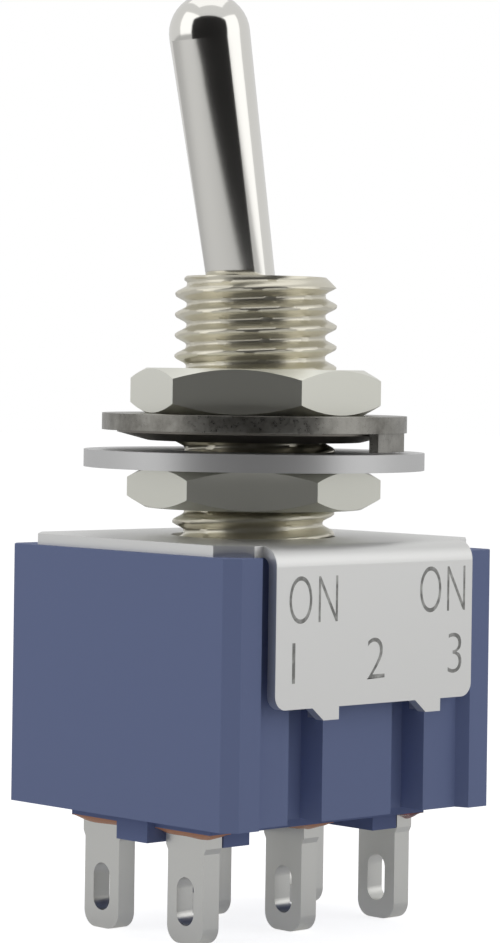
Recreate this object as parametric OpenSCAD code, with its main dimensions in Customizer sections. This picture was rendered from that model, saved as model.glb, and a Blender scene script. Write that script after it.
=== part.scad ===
// Miniature two-pole toggle switch for panels: bat lever, threaded bushing with its nuts and washers,
// folded bracket clinched over a moulded case, and six solder lugs in two rows of three.
// +Z runs up the bushing, X is the throw of the lever, -Y is the marked side of the bracket.
// The origin is under the bushing axis, in the plane of the lug tips.

/* [Case] */
// Length of the case along the throw
case_l = 13.2; // [12.8:0.1:15]
// Width of the case between its two posts
case_w = 12.1; // [11.8:0.1:13.5]
// Height of the case
case_h = 9.3; // [9:0.1:12]
// Leg of the chamfer on the upright corners
corner_cut = 0.46; // [0.1:0.02:0.7]
// Width of each corner post at the face
post_w = 1.4; // [1:0.05:1.5]
// Depth of the recess that takes a bracket arm
recess_depth = 0.52; // [0.3:0.02:0.6]
// Run-in of the recess wall towards its floor
recess_slant = 0.2; // [0:0.05:0.3]
// Distance between the centres of the two grooves
groove_pitch = 5.06; // [4.6:0.02:5.4]
// Width of a groove
groove_w = 1.64; // [1.4:0.02:1.8]
// Depth of a groove below the recess floor
groove_depth = 1.1; // [0.5:0.05:1.15]
// Wall at the two ends of the case
end_wall = 1.25; // [0.8:0.05:1.3]
// Clearance between the side walls and what moves inside
cavity_clear = 0.2; // [0.1:0.02:0.3]
// Width of the ledge that the base stops against
base_ledge = 0.3; // [0.15:0.05:0.35]

/* [Base] */
// Thickness of the base plate
base_t = 2.0; // [1.6:0.1:2.4]
// How far the base plate stands below the case
base_drop = 0.4; // [0.1:0.05:0.6]
// How far the ribs of the base stand below the case
rib_drop = 0.95; // [0.7:0.05:1.2]
// Width of the rib between the two rows of lugs
spine_w = 1.64; // [1:0.04:1.8]
// Width of the two cross ribs
cross_w = 1.23; // [0.8:0.01:1.3]
// Inset of the cross ribs from the sides of the base plate
cross_inset = 0.4; // [0.1:0.05:0.6]
// Overhang of the middle rib past the base plate
spine_over = 0.35; // [0:0.05:0.4]
// Height of the resin around a lug
resin_h = 0.6; // [0.3:0.05:0.9]
// Width of the resin beside a lug's face
resin_margin = 0.3; // [0.15:0.05:0.35]

/* [Bracket] */
// Thickness of the sheet
sheet_t = 0.4; // [0.3:0.02:0.45]
// How far the arms stand out of the corner posts
arm_proud = 0.35; // [0.2:0.05:0.6]
// Inset of the plate from the case ends
plate_inset = 0.35; // [0.1:0.05:0.6]
// Leg of the cut plate corners
plate_cut = 1.0; // [0.4:0.05:1.1]
// Gap between an arm and the corner post beside it
arm_gap = 0.35; // [0.1:0.05:0.6]
// Height of an arm from the top of the plate
arm_h = 5.6; // [4.5:0.1:6.4]
// Outside radius of the folds
fold_r = 0.7; // [0.5:0.05:0.9]
// Radius of the arms' lower corners
arm_corner = 0.5; // [0.2:0.05:0.8]
// Drop of the clinch tabs below an arm
tab_drop = 0.45; // [0.2:0.05:0.7]
// Width of the straight part of a clinch tab
tab_w = 0.74; // [0.5:0.02:0.8]
// Run of the slope at the end of a clinch tab
tab_slope = 0.6; // [0.3:0.05:0.7]
// Reach of a clinch tab into its groove
tab_reach = 0.75; // [0.5:0.05:1]
// How far the turned end of a clinch tab reaches up behind its arm
tab_hold = 0.35; // [0.2:0.05:0.6]

/* [Bushing] */
// Outside diameter of the thread
thread_d = 5.9; // [5.7:0.02:6]
// Pitch of the thread
thread_pitch = 0.75; // [0.5:0.05:0.8]
// Height of the bushing above the plate
bushing_h = 9.4; // [9:0.1:12]
// Chamfer at the top of the thread
thread_cut = 0.4; // [0.2:0.05:0.5]
// Width of the keyway
keyway_w = 1.0; // [0.7:0.05:1.2]
// Depth of the keyway
keyway_depth = 0.42; // [0.2:0.02:0.5]
// Length of the flange under the plate
flange_l = 7.2; // [6.4:0.1:8]
// Thickness of the flange under the plate
flange_t = 0.8; // [0.5:0.05:0.9]
// Lip of the bushing over the lever's ball
throat_lip = 0.4; // [0.3:0.02:0.45]
// Clearance of the bushing in the plate and in the nuts and rings
thread_clear = 0.04; // [0.03:0.01:0.06]

/* [Nuts and washers] */
// Distance across the flats of a nut
nut_af = 8.0; // [7.6:0.1:9]
// Height of the lower nut's underside above the plate
lower_nut_z = 1.0; // [0.3:0.05:1.1]
// Thickness of the lower nut
lower_nut_t = 1.45; // [1.2:0.05:1.6]
// Turn of the lower nut about the bushing
lower_nut_turn = 16.2; // [0:0.2:60]
// Thickness of the upper nut
upper_nut_t = 1.65; // [1.3:0.05:2]
// Turn of the upper nut about the bushing
upper_nut_turn = 7.8; // [0:0.2:60]
// Outside diameter of the flat washer
washer_d = 12.4; // [11.6:0.1:13]
// Thickness of the flat washer
washer_t = 0.63; // [0.4:0.01:0.7]
// Inset of the lock washer from the locating ring's tab
lock_inset = 0.2; // [0.1:0.05:0.4]
// Diameter of the flat middle of the lock washer
lock_flat_d = 7.8; // [7.4:0.1:8.6]
// Thickness of the lock washer at its middle
lock_t = 0.37; // [0.3:0.01:0.5]
// Thickness of the lock washer at its edge
lock_edge_t = 0.08; // [0.05:0.01:0.15]
// Number of teeth in the lock washer
lock_teeth = 10; // [8:1:12]
// Width of the gaps between the teeth of the lock washer
tooth_gap = 0.4; // [0.3:0.05:0.6]
// Band between the teeth and the dished rim of the lock washer
tooth_root = 0.35; // [0.2:0.05:0.4]
// Gap between the flat washer and the lock washer
stack_gap = 0.35; // [0.2:0.05:0.5]
// Outside diameter of the locating ring
ring_d = 11.1; // [10.8:0.1:11.6]
// Thickness of the locating ring
ring_t = 0.6; // [0.4:0.05:0.7]
// Width of the locating ring's tab
ring_tab_w = 2.4; // [1.8:0.1:2.8]
// Thickness of the locating ring's tab
ring_tab_t = 0.35; // [0.25:0.05:0.4]
// Direction of the locating ring's tab
ring_tab_turn = -68; // [-90:1:-30]
// Seat of the locating ring's tongue in the ring
ring_tongue = 0.3; // [0.2:0.05:0.5]

/* [Lever] */
// Lean of the lever to each side
lever_tilt = 11; // [9:0.5:12]
// Height of the pivot above the plate
pivot_h = 5.3; // [5:0.05:5.4]
// Length of the lever from its pivot to its tip
lever_l = 14.46; // [10:0.02:18]
// Diameter of the lever at its tip
lever_tip_d = 2.92; // [2.6:0.02:3.2]
// Diameter of the lever at its pivot
lever_root_d = 2.3; // [2:0.02:2.4]
// Diameter of the lever's ball
ball_d = 4.2; // [3.9:0.02:4.5]
// Clearance around the ball
ball_clear = 0.05; // [0.03:0.01:0.07]
// Diameter of the lever's tail
tail_d = 1.5; // [1.2:0.05:1.55]
// Diameter of the pivot pin
pin_d = 1.0; // [0.8:0.05:1.1]
// Wall of the bushing left outside the ends of the pivot pin, under the thread
pin_cover = 0.29; // [0.2:0.01:0.35]

/* [Contacts] */
// Distance from the end of the case to the middle of an outer lug
lug_inset = 1.88; // [1.74:0.02:2.1]
// Distance of a row of lugs from the middle
row_y = 2.24; // [2.1:0.02:2.4]
// Distance from the lug tips to the case
lug_drop = 4.35; // [4.1:0.05:8]
// Thickness of a lug
lug_t = 0.75; // [0.6:0.01:0.8]
// Width of a lug at its slot
lug_w = 1.86; // [1.6:0.02:2]
// Width of a lug at its root
lug_root_w = 2.08; // [2:0.02:2.12]
// Radius of a lug's lower corners
lug_round = 0.6; // [0.3:0.05:0.75]
// Width of a lug's slot
slot_w = 0.88; // [0.7:0.02:1]
// Length of a lug's slot
slot_l = 1.7; // [1.2:0.05:1.9]
// Distance from a lug's tip to its slot
slot_z = 0.63; // [0.5:0.01:0.8]
// Height of the slope between a lug's two widths
lug_slope = 0.2; // [0.1:0.05:0.4]
// Thickness of an outer lug's shelf
shelf_t = 0.5; // [0.3:0.05:0.7]
// Length of an outer lug's shelf beyond its contact
shelf_end = 0.15; // [0.05:0.05:0.25]
// Width of an ear beside the rocker
ear_w = 0.25; // [0.2:0.05:0.3]
// Height of an ear above the rocker's seat
ear_h = 0.8; // [0.5:0.05:1]
// Depth of an ear's root beside the middle lug
ear_root = 1.0; // [0.6:0.05:1.5]
// Height of the rocker's seat above the case's underside
saddle_h = 3.9; // [3.6:0.05:4.1]
// Tilt of the rocker to each side
rocker_tilt = 7; // [5:0.5:7.5]
// Length of the rocker beyond its contacts
rocker_end = 0.1; // [0:0.02:0.2]
// Width of the rocker
rocker_w = 1.7; // [1.5:0.02:1.74]
// Thickness of the rocker
rocker_t = 0.3; // [0.2:0.02:0.36]
// Depth of the kink in the middle of the rocker
kink_depth = 0.35; // [0.3:0.02:0.4]
// Width of the kink in the middle of the rocker
kink_w = 4.0; // [3.8:0.05:4.4]
// Depth of the shallow bottom of the kink
kink_bottom = 0.08; // [0.04:0.01:0.1]
// Width of the shallow bottom of the kink
kink_bottom_w = 1.8; // [1.6:0.05:2]
// Distance from an end lug inwards to its contact
contact_inset = 0.67; // [0.5:0.01:0.8]
// Diameter of a contact
contact_d = 1.2; // [0.9:0.05:1.3]
// Thickness of a contact
contact_t = 0.22; // [0.15:0.01:0.3]
// Diameter of a plunger
plunger_d = 1.1; // [0.9:0.02:1.14]
// Length of the actuator along the throw
actuator_l = 3.0; // [2.6:0.1:3.2]
// Wall of the actuator outside its plungers
actuator_wall = 0.41; // [0.3:0.01:0.45]
// Distance from the bushing's foot to the actuator
actuator_drop = 0.65; // [0.6:0.05:0.8]
// Actuator left above its plunger bores
bore_cover = 0.3; // [0.2:0.05:0.35]
// Actuator left below the lever's tail
tail_cover = 0.9; // [0.6:0.05:1.1]
// How far a plunger stands out of the actuator
plunger_out = 1.0; // [0.8:0.05:1.1]
// Length of a spring
spring_l = 0.9; // [0.8:0.05:1]
// Diameter of the spring wire
wire_d = 0.14; // [0.1:0.01:0.16]
// Turns of a spring
spring_turns = 4; // [3:1:5]

/* [Hidden] */

$fn = 64;
LEFT = -1;
MIDDLE = 0;
RIGHT = 1;
FRONT = -1;
REAR = 1;

// Small clearances and overlaps of the construction
joint_eps = 0.05;
part_gap = 0.05;
pin_clear = 0.03;
pin_end_clear = 0.08;
press_gap = 0.01;
slide_clear = 0.05;
plunger_gap = 0.08;
spring_inset = 0.03;
rib_clear = 0.06;
resin_clear = 0.02;
tab_clear = 0.08;
swing_clear = 0.12;
nut_play = 0.1;
nut_face_inset = 0.05;
nut_cut_angle = 30;
wire_steps = 10;
wire_sides = 6;

// Levels from the lug tips up
z_case = lug_drop;
z_case_top = z_case + case_h;
z_plate = z_case_top + sheet_t;
z_bushing_top = z_plate + bushing_h;
z_flange = z_case_top - flange_t;
z_pivot = z_plate + pivot_h;
z_base = z_case - base_drop;
z_base_top = z_base + base_t;
z_rib = z_case - rib_drop;
z_saddle = z_case + saddle_h;
z_lower_nut = z_plate + lower_nut_z;
z_washer = z_lower_nut + lower_nut_t;
z_lock = z_washer + washer_t + stack_gap;
z_ring = z_lock + lock_t;
z_upper_nut = z_ring + ring_t;

// Plungers and actuator across the rows
plunger_r = plunger_d / 2;
bore_plunger_r = plunger_r + slide_clear;
actuator_w = 2 * (row_y + bore_plunger_r + actuator_wall);

// Case, base and bracket
cavity_l = case_l - 2 * end_wall;
cavity_w = actuator_w + 2 * cavity_clear;
over_arms = case_w + 2 * arm_proud;
arm_w = case_l - 2 * post_w - 2 * arm_gap;
pocket_w = cavity_w + 2 * base_ledge;
base_l = cavity_l - 2 * part_gap;
base_w = pocket_w - 2 * part_gap;
lug_pitch = case_l / 2 - lug_inset;
cross_l = base_w - 2 * cross_inset;
cross_x = lug_pitch - lug_t / 2 - rib_clear - cross_w / 2;

// Bushing
thread_r = thread_d / 2;
pitch_r = thread_r - thread_pitch * 3 * sqrt(3) / 16;
bore_r = ball_d / 2 + ball_clear;
throat_r = bore_r - throat_lip;
throat_z = sqrt(bore_r * bore_r - throat_r * throat_r);
mouth_h = z_bushing_top - z_pivot;
mouth_r = lever_r(mouth_h) / cos(lever_tilt) + mouth_h * tan(lever_tilt) + swing_clear;
foot_h = z_pivot - z_flange;
foot_r = tail_d / 2 / cos(lever_tilt) + foot_h * tan(lever_tilt) + swing_clear;
flange_w = cavity_w - 2 * cavity_clear;
pin_l = 2 * (pitch_r - pin_cover);
pin_slot_reach = pin_l / 2 + pin_end_clear;

// Lever and actuator, as distances below the pivot
tip_r = lever_tip_d / 2;
tip_down = z_pivot - (z_saddle + rocker_t + plunger_gap);
actuator_top = z_pivot - z_flange + actuator_drop;
actuator_bottom = tip_down - plunger_out;
tail_end = actuator_bottom - tail_cover;
spring_top = actuator_top + bore_cover;
plunger_top = spring_top + spring_l;
spring_r = plunger_r - wire_d / 2 - spring_inset;

// Washers
lock_d = ring_d - 2 * (ring_tab_t + lock_inset);

// Contacts
contact_x = lug_pitch - contact_inset;
rocker_l = 2 * (contact_x + contact_d / 2 + rocker_end);
contact_low = z_saddle + kink_depth * cos(rocker_tilt) - (contact_x + contact_d / 2) * sin(rocker_tilt)
  - contact_t * cos(rocker_tilt);
z_contact = contact_low - part_gap;
z_shelf = z_contact - contact_t;
saddle_w = rocker_w + 2 * (part_gap + ear_w);

// Radius of the lever at a distance s above its pivot
function lever_r(s) = (lever_root_d + (lever_tip_d - lever_root_d) * s / (lever_l - lever_tip_d / 2)) / 2;

// Ring of points around a helix of wire, at turn angle a
function wire_ring(a, height, turns, sides) = [
  for (k = [0:sides - 1])
    let (b = 360 * k / sides, r = spring_r + wire_d / 2 * cos(b))
    [r * cos(a), r * sin(a), height * a / (360 * turns) + wire_d / 2 * sin(b)]
];

module helix(height, turns, steps, sides) {
  count = turns * steps;
  points = [for (i = [0:count]) each wire_ring(i * 360 / steps, height, turns, sides)];
  walls = [
    for (i = [0:count - 1], k = [0:sides - 1])
      let (n = (k + 1) % sides)
      [i * sides + k, (i + 1) * sides + k, (i + 1) * sides + n, i * sides + n]
  ];
  start = [for (k = [0:sides - 1]) k];
  finish = [for (k = [0:sides - 1]) (count + 1) * sides - 1 - k];
  polyhedron(points, concat(walls, [start], [finish]), convexity = 8);
}

// Moves what is drawn along the lever, with its pivot at the origin, into the lean of the lever
module on_lever() {
  translate([0, 0, z_pivot])
    rotate([0, -lever_tilt, 0])
      children();
}

// Outline of the case seen from above
module case_outline() {
  recess_half = case_l / 2 - post_w;
  difference() {
    square([case_l, case_w], center = true);
    for (sx = [-1, 1], sy = [-1, 1])
      translate([sx * case_l / 2, sy * case_w / 2])
        rotate(45)
          square(corner_cut * sqrt(2), center = true);
    for (sy = [-1, 1])
      scale([1, sy])
        translate([0, case_w / 2]) {
          polygon([
            [-recess_half, joint_eps], [recess_half, joint_eps],
            [recess_half - recess_slant, -recess_depth], [-recess_half + recess_slant, -recess_depth]
          ]);
          for (sx = [-1, 1])
            translate([sx * groove_pitch / 2 - groove_w / 2, -recess_depth - groove_depth])
              square([groove_w, recess_depth + groove_depth + joint_eps]);
        }
  }
}

module case() {
  color("#3d4a80")
    difference() {
      translate([0, 0, z_case])
        linear_extrude(case_h)
          case_outline();
      translate([-cavity_l / 2, -cavity_w / 2, z_case])
        cube([cavity_l, cavity_w, case_h + joint_eps]);
      translate([-cavity_l / 2, -pocket_w / 2, z_case - joint_eps])
        cube([cavity_l, pocket_w, z_base_top - z_case + joint_eps]);
    }
}

module base_block() {
  spine_l = base_l + 2 * spine_over;
  color("#35437c")
    difference() {
      union() {
        translate([-base_l / 2, -base_w / 2, z_base])
          cube([base_l, base_w, base_t]);
        translate([-spine_l / 2, -spine_w / 2, z_rib])
          cube([spine_l, spine_w, z_case - z_rib - part_gap]);
        for (sx = [-1, 1])
          translate([sx * cross_x - cross_w / 2, -cross_l / 2, z_rib])
            cube([cross_w, cross_l, z_base - z_rib + joint_eps]);
      }
      for (sx = [-1, 0, 1], sy = [-1, 1])
        translate([sx * lug_pitch, sy * row_y, z_base + base_t / 2])
          cube([lug_t + 2 * part_gap, lug_root_w + 2 * part_gap, base_t + 2 * joint_eps], center = true);
    }
}

// Fold and arm of the bracket, seen along X
module arm_section() {
  inner_r = fold_r - sheet_t;
  fold_y = over_arms / 2 - fold_r;
  translate([fold_y, z_plate - fold_r])
    intersection() {
      difference() {
        circle(fold_r);
        circle(inner_r);
      }
      square(fold_r);
    }
  translate([over_arms / 2 - sheet_t, z_plate - arm_h])
    square([sheet_t, arm_h - fold_r]);
  translate([fold_y - joint_eps, z_case_top])
    square([joint_eps, sheet_t]);
}

// Face of an arm with its rounded lower corners, seen from its side
module arm_face() {
  half = arm_w / 2;
  low = z_plate - arm_h;
  translate([-half, low + arm_corner])
    square([arm_w, arm_h]);
  translate([-half + arm_corner, low])
    square([arm_w - 2 * arm_corner, arm_h]);
  for (sx = [-1, 1])
    translate([sx * (half - arm_corner), low + arm_corner])
      circle(arm_corner);
}

// Clinch tab: a lip under the arm, with its free end turned into the groove
module clinch_tab() {
  low = z_plate - arm_h - tab_drop;
  face_y = over_arms / 2 - sheet_t;
  left = -groove_w / 2 + tab_clear;
  translate([0, face_y + sheet_t, 0])
    rotate([90, 0, 0])
      linear_extrude(sheet_t)
        polygon([
          [left, low], [left + tab_w, low], [left + tab_w + tab_slope, low + tab_drop + joint_eps],
          [left, low + tab_drop + joint_eps]
        ]);
  translate([left, face_y - tab_reach, low])
    cube([sheet_t, tab_reach + joint_eps, tab_drop + tab_hold]);
}

module arm() {
  intersection() {
    translate([-arm_w / 2, 0, 0])
      rotate([90, 0, 90])
        linear_extrude(arm_w)
          arm_section();
    translate([0, over_arms, 0])
      rotate([90, 0, 0])
        linear_extrude(over_arms)
          arm_face();
  }
  for (sx = [-1, 1])
    translate([sx * groove_pitch / 2, 0, 0])
      clinch_tab();
}

module bracket() {
  plate_l = case_l - 2 * plate_inset;
  plate_w = over_arms - 2 * fold_r;
  color("#cfcfcd")
    difference() {
      union() {
        translate([0, 0, z_case_top])
          linear_extrude(sheet_t)
            difference() {
              square([plate_l, plate_w], center = true);
              for (sx = [-1, 1], sy = [-1, 1])
                translate([sx * plate_l / 2, sy * plate_w / 2])
                  rotate(45)
                    square(plate_cut * sqrt(2), center = true);
            }
        arm();
        rotate([0, 0, 180])
          arm();
      }
      translate([0, 0, z_case_top - joint_eps])
        cylinder(r = thread_r + thread_clear, h = sheet_t + 2 * joint_eps);
    }
}

// Hollow of the bushing, seen from its side with the pivot at the origin: the foot, the seat of
// the ball, and the mouth that the lever swings in
module bushing_hollow() {
  polygon([[0, -foot_h], [foot_r, -foot_h], [bore_r, 0], [0, 0]]);
  intersection() {
    circle(bore_r);
    square([bore_r, throat_z]);
  }
  polygon([[0, throat_z], [throat_r, throat_z], [mouth_r, mouth_h], [0, mouth_h]]);
}

// Slot that lets the pivot pin in from below, seen along the pin
module pin_slot() {
  slot_half = pin_d / 2 + pin_clear;
  circle(slot_half);
  translate([-slot_half, -foot_h - joint_eps])
    square([2 * slot_half, foot_h + joint_eps]);
}

// Cut that takes the thread down to its pitch diameter where a nut is on it
module nut_seat(z, thickness) {
  translate([0, 0, z - nut_play])
    difference() {
      cylinder(r = thread_r + joint_eps, h = thickness + 2 * nut_play);
      translate([0, 0, -joint_eps])
        cylinder(r = pitch_r, h = thickness + 2 * nut_play + 2 * joint_eps);
    }
}

module bushing() {
  color("#b9b49f")
    difference() {
      union() {
        rotate_extrude()
          polygon([
            [0, z_flange], [thread_r, z_flange], [thread_r, z_bushing_top - thread_cut],
            [thread_r - thread_cut, z_bushing_top], [0, z_bushing_top]
          ]);
        translate([-flange_l / 2, -flange_w / 2, z_flange])
          cube([flange_l, flange_w, flange_t]);
      }
      translate([0, 0, z_pivot])
        rotate_extrude()
          bushing_hollow();
      translate([0, pin_slot_reach, z_pivot])
        rotate([90, 0, 0])
          linear_extrude(2 * pin_slot_reach)
            pin_slot();
      nut_seat(z_lower_nut, lower_nut_t);
      nut_seat(z_upper_nut, upper_nut_t);
      translate([thread_r - keyway_depth, -keyway_w / 2, z_plate])
        cube([keyway_depth + joint_eps, keyway_w, bushing_h + joint_eps]);
    }
}

module lever() {
  tip_s = lever_l - tip_r;
  color("#d2d0c6")
    on_lever()
      difference() {
        union() {
          cylinder(r1 = lever_r(0), r2 = tip_r, h = tip_s);
          translate([0, 0, tip_s])
            sphere(tip_r);
          sphere(ball_d / 2);
          translate([0, 0, -tail_end])
            cylinder(d = tail_d, h = tail_end);
        }
        rotate([90, 0, 0])
          cylinder(d = pin_d + 2 * press_gap, h = ball_d + 2 * joint_eps, center = true);
      }
}

module pivot_pin() {
  color("#a8a8a4")
    on_lever()
      rotate([90, 0, 0])
        cylinder(d = pin_d, h = pin_l, center = true);
}

module actuator() {
  height = actuator_bottom - actuator_top;
  color("#ece8da")
    on_lever()
      difference() {
        translate([-actuator_l / 2, -actuator_w / 2, -actuator_bottom])
          cube([actuator_l, actuator_w, height]);
        translate([0, 0, -tail_end - part_gap])
          cylinder(d = tail_d + 2 * press_gap, h = tail_end);
        for (sy = [-1, 1])
          translate([0, sy * row_y, -actuator_bottom - joint_eps])
            cylinder(r = bore_plunger_r, h = actuator_bottom - spring_top + joint_eps);
      }
}

module plunger(row) {
  color("#c8a860")
    on_lever()
      translate([0, row * row_y, -tip_down]) {
        translate([0, 0, plunger_r])
          sphere(plunger_r);
        translate([0, 0, plunger_r])
          cylinder(r = plunger_r, h = tip_down - plunger_top - plunger_r);
      }
}

module spring(row) {
  free = plunger_top - spring_top - wire_d - 2 * press_gap;
  color("#b8b8b4")
    on_lever()
      translate([0, row * row_y, -plunger_top + wire_d / 2 + press_gap])
        helix(free, spring_turns, wire_steps, wire_sides);
}

// Outline of the rocker seen along Y, with the point it rocks on at the origin
module rocker_section() {
  right = [
    [0, 0], [kink_bottom_w / 2, kink_bottom], [kink_w / 2, kink_depth], [rocker_l / 2, kink_depth]
  ];
  under = concat([for (i = [len(right) - 1:-1:1]) [-right[i].x, right[i].y]], right);
  over = [for (i = [len(under) - 1:-1:0]) under[i] + [0, rocker_t]];
  polygon(concat(under, over));
}

module rocker(row) {
  color("#cbb27a")
    translate([0, row * row_y, z_saddle])
      rotate([0, rocker_tilt, 0]) {
        translate([0, rocker_w / 2, 0])
          rotate([90, 0, 0])
            linear_extrude(rocker_w)
              rocker_section();
        for (sx = [-1, 1])
          translate([sx * contact_x, 0, kink_depth - contact_t])
            cylinder(d = contact_d, h = contact_t + joint_eps);
      }
}

// Face of a lug, seen along X, from its tip up to a given height
module lug_face(top) {
  shoulder = z_rib - lug_slope;
  half = lug_w / 2;
  difference() {
    union() {
      translate([-half, lug_round])
        square([lug_w, shoulder - lug_round]);
      translate([-half + lug_round, 0])
        square([lug_w - 2 * lug_round, shoulder]);
      for (sy = [-1, 1])
        translate([sy * (half - lug_round), lug_round])
          circle(lug_round);
      polygon([
        [-half, shoulder], [half, shoulder], [lug_root_w / 2, z_rib], [lug_root_w / 2, top],
        [-lug_root_w / 2, top], [-lug_root_w / 2, z_rib]
      ]);
    }
    translate([0, slot_z + slot_w / 2])
      circle(d = slot_w);
    translate([0, slot_z + slot_l - slot_w / 2])
      circle(d = slot_w);
    translate([-slot_w / 2, slot_z + slot_w / 2])
      square([slot_w, slot_l - slot_w]);
  }
}

module lug_blade(top) {
  translate([-lug_t / 2, 0, 0])
    rotate([90, 0, 90])
      linear_extrude(lug_t)
        lug_face(top);
}

// Outer lug, with a shelf turned inwards to carry a fixed contact
module end_lug(column, row) {
  shelf_inner = contact_x - contact_d / 2 - shelf_end;
  shelf_l = lug_pitch - shelf_inner;
  color("#b4b4b0")
    translate([0, row * row_y, 0]) {
      translate([column * lug_pitch, 0, 0])
        lug_blade(z_shelf);
      translate([column * (shelf_inner + shelf_l / 2), 0, z_shelf - shelf_t / 2])
        cube([shelf_l, lug_root_w, shelf_t], center = true);
    }
}

// Middle lug, with a saddle between two ears for the rocker
module common_lug(row) {
  color("#b4b4b0")
    translate([0, row * row_y, 0]) {
      lug_blade(z_saddle - part_gap);
      for (sy = [-1, 1])
        translate([-lug_t / 2, sy * (saddle_w - ear_w) / 2 - ear_w / 2, z_saddle - part_gap - ear_root])
          cube([lug_t, ear_w, ear_h + ear_root]);
    }
}

module fixed_contact(column, row) {
  color("#d8d8d2")
    translate([column * contact_x, row * row_y, z_shelf])
      cylinder(d = contact_d, h = contact_t);
}

// Resin poured round the root of a lug, clear of the ribs of the base
module resin(column, row) {
  rib_side = cross_x + cross_w / 2 + resin_clear;
  inner_x = column == MIDDLE ? -lug_t / 2 - resin_margin : rib_side;
  outer_x = column == MIDDLE ? lug_t / 2 + resin_margin : base_l / 2;
  inner_y = spine_w / 2 + resin_clear;
  outer_y = base_w / 2;
  color("#b4552e")
    difference() {
      scale([column == LEFT ? -1 : 1, row, 1])
        translate([inner_x, inner_y, z_base - resin_h])
          cube([outer_x - inner_x, outer_y - inner_y, resin_h]);
      translate([column * lug_pitch, row * row_y, z_base - resin_h / 2])
        cube([lug_t + 2 * press_gap, lug_root_w + 2 * press_gap, resin_h + 2 * joint_eps], center = true);
    }
}

// Hex nut with both faces chamfered round to its flats, bored at the pitch diameter of its thread
module nut(thickness) {
  corner_r = nut_af / 2 / cos(30);
  face_r = nut_af / 2 - nut_face_inset;
  cone_h = (corner_r - face_r) * tan(nut_cut_angle);
  difference() {
    intersection() {
      cylinder(r = corner_r, h = thickness, $fn = 6);
      rotate_extrude()
        polygon([
          [0, 0], [face_r, 0], [corner_r, cone_h], [corner_r, thickness - cone_h],
          [face_r, thickness], [0, thickness]
        ]);
    }
    translate([0, 0, -joint_eps])
      cylinder(r = pitch_r + thread_clear, h = thickness + 2 * joint_eps);
  }
}

module lower_nut() {
  color("#dcdccc")
    translate([0, 0, z_lower_nut])
      rotate(lower_nut_turn)
        nut(lower_nut_t);
}

module upper_nut() {
  color("#dcdccc")
    translate([0, 0, z_upper_nut])
      rotate(upper_nut_turn)
        nut(upper_nut_t);
}

module flat_washer() {
  color("#a9a9a9")
    translate([0, 0, z_washer])
      difference() {
        cylinder(d = washer_d, h = washer_t);
        translate([0, 0, -joint_eps])
          cylinder(r = thread_r + thread_clear, h = washer_t + 2 * joint_eps);
      }
}

// Dished washer with teeth cut between its bore and its flat middle
module lock_washer() {
  notch_out = lock_flat_d / 2 - tooth_root;
  color("#4a463e")
    translate([0, 0, z_lock])
      difference() {
        rotate_extrude()
          polygon([
            [thread_r + thread_clear, 0], [lock_flat_d / 2, 0], [lock_d / 2, lock_t - lock_edge_t],
            [lock_d / 2, lock_t], [thread_r + thread_clear, lock_t]
          ]);
        for (i = [0:lock_teeth - 1])
          rotate(i * 360 / lock_teeth)
            translate([0, -tooth_gap / 2, -joint_eps])
              cube([notch_out, tooth_gap, lock_t + 2 * joint_eps]);
      }
}

// Ring with a tongue in the keyway and a tab folded down towards the panel
module locating_ring() {
  tab_drop_z = lock_t + stack_gap - part_gap;
  tab_x = lock_d / 2 + part_gap;
  color("#b4b4b2")
    translate([0, 0, z_ring]) {
      difference() {
        cylinder(d = ring_d, h = ring_t);
        translate([0, 0, -joint_eps])
          cylinder(r = thread_r + thread_clear, h = ring_t + 2 * joint_eps);
      }
      translate([thread_r - keyway_depth + part_gap, -keyway_w / 2 + part_gap, 0])
        cube([keyway_depth + ring_tongue, keyway_w - 2 * part_gap, ring_t]);
      rotate(ring_tab_turn)
        translate([tab_x, -ring_tab_w / 2, -tab_drop_z])
          cube([ring_tab_t, ring_tab_w, tab_drop_z + joint_eps]);
    }
}

case();
base_block();
bracket();
bushing();
lever();
pivot_pin();
actuator();
plunger(FRONT);  // plunger_front
plunger(REAR);  // plunger_rear
spring(FRONT);  // spring_front
spring(REAR);  // spring_rear
rocker(FRONT);  // rocker_front
rocker(REAR);  // rocker_rear
end_lug(LEFT, FRONT);  // lug_left_front
end_lug(LEFT, REAR);  // lug_left_rear
common_lug(FRONT);  // lug_common_front
common_lug(REAR);  // lug_common_rear
end_lug(RIGHT, FRONT);  // lug_right_front
end_lug(RIGHT, REAR);  // lug_right_rear
fixed_contact(LEFT, FRONT);  // contact_left_front
fixed_contact(LEFT, REAR);  // contact_left_rear
fixed_contact(RIGHT, FRONT);  // contact_right_front
fixed_contact(RIGHT, REAR);  // contact_right_rear
resin(LEFT, FRONT);  // resin_left_front
resin(LEFT, REAR);  // resin_left_rear
resin(MIDDLE, FRONT);  // resin_common_front
resin(MIDDLE, REAR);  // resin_common_rear
resin(RIGHT, FRONT);  // resin_right_front
resin(RIGHT, REAR);  // resin_right_rear
lower_nut();
flat_washer();
lock_washer();
locating_ring();
upper_nut();
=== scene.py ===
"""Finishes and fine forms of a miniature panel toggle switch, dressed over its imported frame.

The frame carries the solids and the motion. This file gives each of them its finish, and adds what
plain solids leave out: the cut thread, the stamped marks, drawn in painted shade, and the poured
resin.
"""

import logging
import math
import random
from dataclasses import dataclass, field
from enum import Enum
from typing import Callable, Sequence, Union

import bmesh
import bpy
from mathutils import Matrix, Vector


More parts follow.
